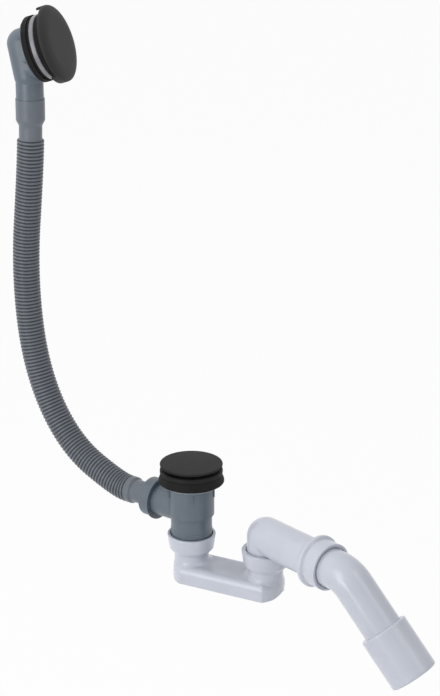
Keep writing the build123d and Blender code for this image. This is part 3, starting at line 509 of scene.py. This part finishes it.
# waste body: rim under the gasket, coloured paler than the body as a painted highlight, and fine beads on the tail
ringValues = {
    "centre": (0.0, 0.0, 0.0), "axis": (0.0, 0.0, 1.0),
    "rim": [(0.0259, -0.0086), (0.0290, -0.0086), (0.0290, -0.0119), (0.0283, -0.0126), (0.0259, -0.0126)],
    "beads": (-0.0660, -0.0637, -0.0614, -0.0465),
    "beadRoot": 0.0213, "beadCrest": 0.0218, "beadHalf": 0.0006, "crestHalf": 0.0002,
}


def makeRings(values):
    place = axisFrame(values["centre"], values["axis"])
    rim = bmesh.new()
    turnProfile(rim, place, values["rim"])
    # the rim's paler grey is a painted highlight
    finishShape("body_rim", rim, "waste", "greyPaintedHighlight")
    beads = bmesh.new()
    root, crest, half, top = values["beadRoot"], values["beadCrest"], values["beadHalf"], values["crestHalf"]
    for level in values["beads"]:
        turnProfile(beads, place, [(root, level - half), (crest, level - top),
                                   (crest, level + top), (root, level + half)])
    finishShape("tail_rings", beads, "waste", "greyMoulded")


makeRings(ringValues)


# trap: soft feet where the two necks run into the flat box
neckValues = {
    "radius": 0.01795, "top": -0.0986, "rise": 0.0070, "sink": 0.0090, "round": 0.0070,
    "flare": 0.0026, "flareFrom": 0.0040, "flareTo": -0.0014, "flareCurve": 2.2, "end": 0.00043, "endTo": -0.0080,
    "places": [(0.0, 1.0), (0.0872, -1.0)], "sides": 96, "levels": 32,
}


def share(value):
    return min(1.0, max(0.0, value))


def makeNeckFeet(values):
    feet = bmesh.new()
    rise, sink, bend = values["rise"], values["sink"], values["round"]
    for middle, inward in values["places"]:
        rings = []
        for level in range(values["levels"] + 1):
            height = rise - (rise + sink) * level / values["levels"]
            drop = min(bend, rise - height)
            inner = bend - math.sqrt(bend * bend - drop * drop)
            flared = share((values["flareFrom"] - height) / (values["flareFrom"] - values["flareTo"]))
            front = values["flare"] * flared ** values["flareCurve"]
            ended = share(height / values["endTo"])
            outer = values["end"] * ended * ended * (3.0 - 2.0 * ended)  # smooth step
            ring = []
            for side in range(values["sides"]):
                angle = 2.0 * math.pi * side / values["sides"]
                lean = inward * math.cos(angle)
                radius = values["radius"] + front * math.sin(angle) ** 2
                radius += (inner if lean > 0.0 else outer) * lean ** 2
                across, ahead = radius * math.cos(angle), radius * math.sin(angle)
                ring.append(feet.verts.new((middle + across, ahead, values["top"] + height)))
            rings.append(ring)
        for upper, lower in zip(rings, rings[1:]):
            for side in range(values["sides"]):
                feet.faces.new((upper[side - 1], upper[side], lower[side], lower[side - 1]))
        feet.faces.new(rings[0])
        feet.faces.new(rings[-1])
    finishShape("trap_neck_feet", feet, "trap", "whiteMoulded")


makeNeckFeet(neckValues)


# elbow: ring that narrows the mouth of its socket, measured along the bend's axis
lipValues = {"centre": (0.0872, 0.0, -0.0536), "axis": (0.930418, -0.366501, 0.0),
             "bore": 0.02035, "radius": 0.02225, "from": 0.0895, "to": 0.0948}


def makeSocketLip(values):
    bore, radius, near, far = values["bore"], values["radius"], values["from"], values["to"]
    lip = bmesh.new()
    turnProfile(lip, axisFrame(values["centre"], values["axis"]),
                [(bore, near), (radius, near), (radius, far), (bore, far)])
    finishShape("socket_lip", lip, "elbow", "whiteMoulded")


makeSocketLip(lipValues)


# trap: squarer skin over the rounded outlet end, with two crisp upright corners
skinValues = {
    "centre": (0.0872, 0.0, 0.0), "axis": (0.0, 0.0, 1.0), "halfWidth": 0.02397,
    "span": 194.0, "steps": 194, "levels": 40, "leastSlope": 0.05,
    "plainOffset": -0.0080, "plainRadius": 0.0264, "bowOffset": -0.0131, "bowRadius": 0.0315, "corner": 2600.0,
    "bottom": -0.11878, "edge": 0.0025, "roll": 0.0026, "rollFrom": -0.1100, "rollCurve": 1.5,
    "shoulder": -0.1066, "round": 0.0080, "top": -0.09864, "inside": 0.0012, "baseInside": 0.0075,
}


def makeTrapSkin(values):
    bottom, top, shoulder = values["bottom"], values["top"], values["shoulder"]

    def reach(angle, offset, radius):
        across = offset * math.sin(angle)
        return offset * math.cos(angle) + math.sqrt(radius * radius - across * across)

    def rounded(depth, radius):
        return radius - math.sqrt(radius * radius - max(0.0, depth) ** 2)

    def profile(angle):
        slope = max(values["leastSlope"], abs(math.sin(angle)))
        outer, inner = [(values["baseInside"], bottom)], []
        for level in range(values["levels"] + 1):
            height = bottom + (top - bottom) * level / values["levels"]
            crown = rounded(height - shoulder, values["round"])
            shrink = crown + rounded(values["edge"] - (height - bottom), values["edge"])
            side = (values["halfWidth"] - shrink) / slope
            bow = reach(angle, values["bowOffset"], values["bowRadius"] - shrink)
            sharp = values["corner"]
            square = min(side, bow) - math.log(1.0 + math.exp(-sharp * abs(side - bow))) / sharp
            under = max(0.0, (values["rollFrom"] - height) / (values["rollFrom"] - bottom))
            rolled = values["roll"] * under ** values["rollCurve"] * max(0.0, math.cos(angle)) ** 2
            outer.append((square - rolled, height))
            if height >= values["rollFrom"]:
                plain = reach(angle, values["plainOffset"], values["plainRadius"] - crown)
                inner.append((min((values["halfWidth"] - crown) / slope, plain) - values["inside"], height))
        return outer + inner[::-1]
    skin = bmesh.new()
    turnProfile(skin, axisFrame(values["centre"], values["axis"]), profile,
                span=values["span"], steps=values["steps"])
    finishShape("trap_end_skin", skin, "trap", "whiteMoulded")


makeTrapSkin(skinValues)


# moulded pads: small raised ledges and pin marks that the mould leaves
padPlaces = {
    "hood": {"body": "waste", "slot": "grey_plastic", "finish": "greyMoulded",
             "Length": 0.0050, "Width": 0.0022, "Rise": 0.0009,
             "spots": [((-0.21061, 0.02154, 0.43090), (0.099, -0.910, 0.403)),
                       ((-0.20396, 0.02102, 0.40708), (0.194, -0.981, 0.0))]},
    "trap": {"body": "trap", "slot": "white_plastic", "finish": "whiteMoulded",
             "Length": 0.0060, "Width": 0.0060, "Rise": 0.0003,
             "spots": [((x, y, -0.1188), (0.0, 0.0, -1.0)) for x in (0.010, 0.038, 0.066) for y in (-0.013, 0.013)]},
}
padShape = {"cornerShare": 0.48, "cornerSteps": 6, "draft": 0.82}


def makePadTree(values):
    sockets = [("Length", "Float"), ("Width", "Float"), ("Rise", "Float"), ("Material", "Material")]
    tree, given = startTree("mouldedPads", sockets)
    shape = addNode(tree, "GeometryNodeCurvePrimitiveQuadrilateral")
    tree.links.new(given["Length"], shape.inputs["Width"])
    tree.links.new(given["Width"], shape.inputs["Height"])
    corner = addNode(tree, "GeometryNodeFilletCurve", mode="POLY")
    corner.inputs["Count"].default_value = values["cornerSteps"]
    tree.links.new(shape.outputs["Curve"], corner.inputs["Curve"])
    tree.links.new(calc(tree, "MULTIPLY", given["Width"], values["cornerShare"]), corner.inputs["Radius"])
    face = addNode(tree, "GeometryNodeFillCurve", mode="NGONS")
    tree.links.new(corner.outputs["Curve"], face.inputs["Curve"])
    root = addNode(tree, "GeometryNodeTransform")
    sink = addNode(tree, "ShaderNodeCombineXYZ")
    tree.links.new(calc(tree, "MULTIPLY", given["Rise"], -1.0), sink.inputs["Z"])  # one rise under, one above
    tree.links.new(face.outputs["Mesh"], root.inputs["Geometry"])
    tree.links.new(sink.outputs[0], root.inputs["Translation"])
    lift = addNode(tree, "GeometryNodeExtrudeMesh", mode="FACES")
    tree.links.new(root.outputs["Geometry"], lift.inputs["Mesh"])
    tree.links.new(calc(tree, "MULTIPLY", given["Rise"], 2.0), lift.inputs["Offset Scale"])
    draft = addNode(tree, "GeometryNodeScaleElements")
    tree.links.new(lift.outputs["Mesh"], draft.inputs["Geometry"])
    tree.links.new(lift.outputs["Top"], draft.inputs["Selection"])
    draft.inputs["Scale"].default_value = values["draft"]
    facing = addNode(tree, "GeometryNodeInputNamedAttribute", data_type="FLOAT_VECTOR")
    facing.inputs["Name"].default_value = "facing"
    upright = addNode(tree, "FunctionNodeAlignRotationToVector", axis="Z")
    tree.links.new(facing.outputs["Attribute"], upright.inputs["Vector"])
    spread = addNode(tree, "GeometryNodeInstanceOnPoints")
    tree.links.new(given["Geometry"], spread.inputs["Points"])
    tree.links.new(draft.outputs["Geometry"], spread.inputs["Instance"])
    tree.links.new(upright.outputs["Rotation"], spread.inputs["Rotation"])
    endTree(tree, spread.outputs["Instances"], given["Material"])
    return tree


padTree = makePadTree(padShape)
for label, values in padPlaces.items():
    dots = bpy.data.meshes.new(label + "Dots")
    dots.from_pydata([place for place, facing in values["spots"]], [], [])
    normals = dots.attributes.new("facing", "FLOAT_VECTOR", "POINT")
    for number, (place, facing) in enumerate(values["spots"]):
        normals.data[number].vector = facing
    carrier = bpy.data.objects.new(label + "Dots", dots)
    scene.collection.objects.link(carrier)
    growPiece(label + "_pads", carrier, padTree, {**values, "Material": finishes[values["finish"]]},
              values["body"])


# stage: pale floor below the part, white surround, soft lamps
stageValues = {"floorDrop": 0.30, "floorSize": 30.0, "floorColour": (0.86, 0.86, 0.86),
               "floorRough": 0.9, "floorWhite": 0.94, "surround": (1.0, 1.0, 1.0), "fill": 0.48}


def seenRays(tree, light):
    mirrored = calc(tree, "MAXIMUM", light.outputs["Is Glossy Ray"], light.outputs["Is Transmission Ray"])
    return calc(tree, "MAXIMUM", light.outputs["Is Camera Ray"], mirrored)


def makeFloor(values):
    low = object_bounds()[0].z - values["floorDrop"]
    half = values["floorSize"] / 2
    mesh = bpy.data.meshes.new("floor")
    corners = [(-half, -half, low), (half, -half, low), (half, half, low), (-half, half, low)]
    mesh.from_pydata(corners, [], [(0, 1, 2, 3)])
    floor = bpy.data.objects.new("floor", mesh)
    scene.collection.objects.link(floor)
    material, tree, shader = startMaterial("paleFloor")
    shader.inputs["Base Color"].default_value = opaque(values["floorColour"])
    shader.inputs["Roughness"].default_value = values["floorRough"]
    light = addNode(tree, "ShaderNodeLightPath")
    white = addNode(tree, "ShaderNodeEmission")
    blend = addNode(tree, "ShaderNodeMixShader")
    tree.links.new(calc(tree, "MULTIPLY", seenRays(tree, light), values["floorWhite"]), blend.inputs[0])
    tree.links.new(shader.outputs[0], blend.inputs[1])
    tree.links.new(white.outputs[0], blend.inputs[2])
    tree.links.new(blend.outputs[0], tree.nodes["Material Output"].inputs["Surface"])
    mesh.materials.append(material)
    floor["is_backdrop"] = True


def makeSurround(values):
    world = bpy.data.worlds.new("surround")
    scene.world = world
    world.use_nodes = True
    tree = world.node_tree
    light = addNode(tree, "ShaderNodeLightPath")
    tree.nodes["Background"].inputs["Color"].default_value = opaque(values["surround"])
    strength = ramp(tree, seenRays(tree, light), 0.0, 1.0, values["fill"], 1.0)
    tree.links.new(strength, tree.nodes["Background"].inputs["Strength"])


lampValues = {
    "leftKey": {"azimuth": -20.0, "elevation": 12.0, "roll": 0.0, "distance": 2.2,
                "size": (0.8, 2.0), "power": 15.0, "glossy": True},
    "rightKey": {"azimuth": 80.0, "elevation": 38.0, "roll": 0.0, "distance": 2.2,
                 "size": (0.9, 2.0), "power": 6.5, "glossy": True},
    "topFill": {"azimuth": -90.0, "elevation": 53.0, "roll": 0.0, "distance": 2.0,
                "size": (1.2, 1.2), "power": 17.0, "glossy": False},
    "glint": {"azimuth": -7.0, "elevation": -4.0, "roll": 40.0, "distance": 2.4,
              "size": (0.10, 0.9), "power": 4.0, "glossy": True},
}


def lookFrom(azimuth, elevation):
    turn, lift = math.radians(azimuth), math.radians(elevation)
    return Vector((math.sin(turn) * math.cos(lift), -math.cos(turn) * math.cos(lift), math.sin(lift)))


def makeLamps(lamps):
    middle = sum(cadBox, Vector()) / 2
    for name, values in lamps.items():
        lamp = bpy.data.lights.new(name, "AREA")
        lamp.shape = "RECTANGLE"
        lamp.size, lamp.size_y = values["size"]
        lamp.energy = values["power"]
        holder = bpy.data.objects.new(name, lamp)
        back = lookFrom(values["azimuth"], values["elevation"])
        holder.location = middle + back * values["distance"]
        roll = Quaternion((0.0, 0.0, 1.0), math.radians(values["roll"]))
        holder.rotation_euler = ((-back).to_track_quat("-Z", "Y") @ roll).to_euler()
        holder.visible_glossy = values["glossy"]
        scene.collection.objects.link(holder)


cameraValues = {"place": (0.92618, -1.70959, 0.84295), "azimuth": 27.569, "elevation": 19.940,
                "lens": 105.38, "sensor": 36.0, "near": 0.05, "far": 60.0}


def makeCamera(values):
    data = bpy.data.cameras.new("camera")
    data.lens = values["lens"]
    data.sensor_width = values["sensor"]
    data.clip_start, data.clip_end = values["near"], values["far"]
    camera = bpy.data.objects.new("camera", data)
    camera.location = values["place"]
    camera.rotation_euler = (-lookFrom(values["azimuth"], values["elevation"])).to_track_quat("-Z", "Y").to_euler()
    scene.collection.objects.link(camera)
    scene.camera = camera


makeFloor(stageValues)
makeSurround(stageValues)
makeLamps(lampValues)
makeCamera(cameraValues)
scene.view_settings.view_transform = "Standard"
print("stage, lamps and camera made")
